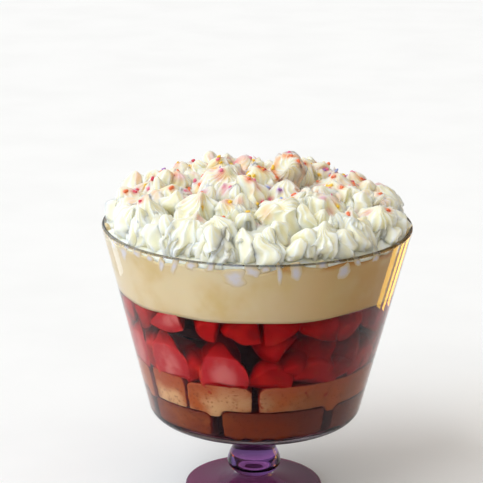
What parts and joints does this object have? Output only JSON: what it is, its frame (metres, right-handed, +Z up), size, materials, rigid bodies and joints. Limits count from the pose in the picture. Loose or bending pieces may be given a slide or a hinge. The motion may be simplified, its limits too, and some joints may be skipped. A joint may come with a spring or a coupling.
{
  "type": "trifle in a footed glass bowl",
  "caption": "Layered strawberry trifle in a clear footed glass bowl: soaked sponge, sponge, red jelly, custard and a heap of piped whipped cream.",
  "frame": {"origin": "middle of the foot's underside, where the bowl stands", "axes": "+Z up along the bowl's axis, -Y towards the side seen from the front, +X to that side's right"},
  "size_m": [0.21, 0.21, 0.233],
  "materials": {
    "clear_glass": "clear, polished, with a rounded rim",
    "soaked_sponge": "dark amber-brown wet crumb",
    "sponge": "open buff crumb, stained pink at the top",
    "strawberry_jelly": "clear dark red jelly with cut strawberries sunk in it",
    "custard": "smooth, soft satin",
    "whipped_cream": "soft satin with fine piped ridges"
  },
  "bodies": {
    "root": {"glass_bowl": "clear_glass", "custard": "custard", "strawberry_jelly": "strawberry_jelly", "cream_layer": "whipped_cream", "soaked_sponge_1": "soaked_sponge", "soaked_sponge_2": "soaked_sponge", "soaked_sponge_3": "soaked_sponge", "soaked_sponge_4": "soaked_sponge", "soaked_sponge_5": "soaked_sponge", "soaked_sponge_6": "soaked_sponge", "soaked_sponge_7": "soaked_sponge", "sponge_1": "sponge", "sponge_2": "sponge", "sponge_3": "sponge", "sponge_4": "sponge", "sponge_5": "sponge", "sponge_6": "sponge", "sponge_7": "sponge", "cream_star_01": "whipped_cream", "cream_star_02": "whipped_cream", "cream_star_03": "whipped_cream", "cream_star_04": "whipped_cream", "cream_star_05": "whipped_cream", "cream_star_06": "whipped_cream", "cream_star_07": "whipped_cream", "cream_star_08": "whipped_cream", "cream_star_09": "whipped_cream", "cream_star_10": "whipped_cream", "cream_star_11": "whipped_cream", "cream_star_12": "whipped_cream", "cream_star_13": "whipped_cream", "cream_star_14": "whipped_cream", "cream_star_15": "whipped_cream", "cream_star_16": "whipped_cream", "cream_star_17": "whipped_cream", "cream_star_18": "whipped_cream", "cream_star_19": "whipped_cream", "cream_star_20": "whipped_cream", "cream_star_21": "whipped_cream", "cream_star_22": "whipped_cream", "cream_star_23": "whipped_cream", "cream_star_24": "whipped_cream", "cream_star_25": "whipped_cream", "cream_star_26": "whipped_cream", "cream_star_27": "whipped_cream", "cream_star_28": "whipped_cream", "cream_star_29": "whipped_cream", "cream_star_30": "whipped_cream", "cream_star_31": "whipped_cream", "cream_star_32": "whipped_cream", "cream_star_33": "whipped_cream", "cream_star_34": "whipped_cream", "cream_star_35": "whipped_cream", "cream_star_36": "whipped_cream", "cream_star_37": "whipped_cream"}
  },
  "joints": []
}
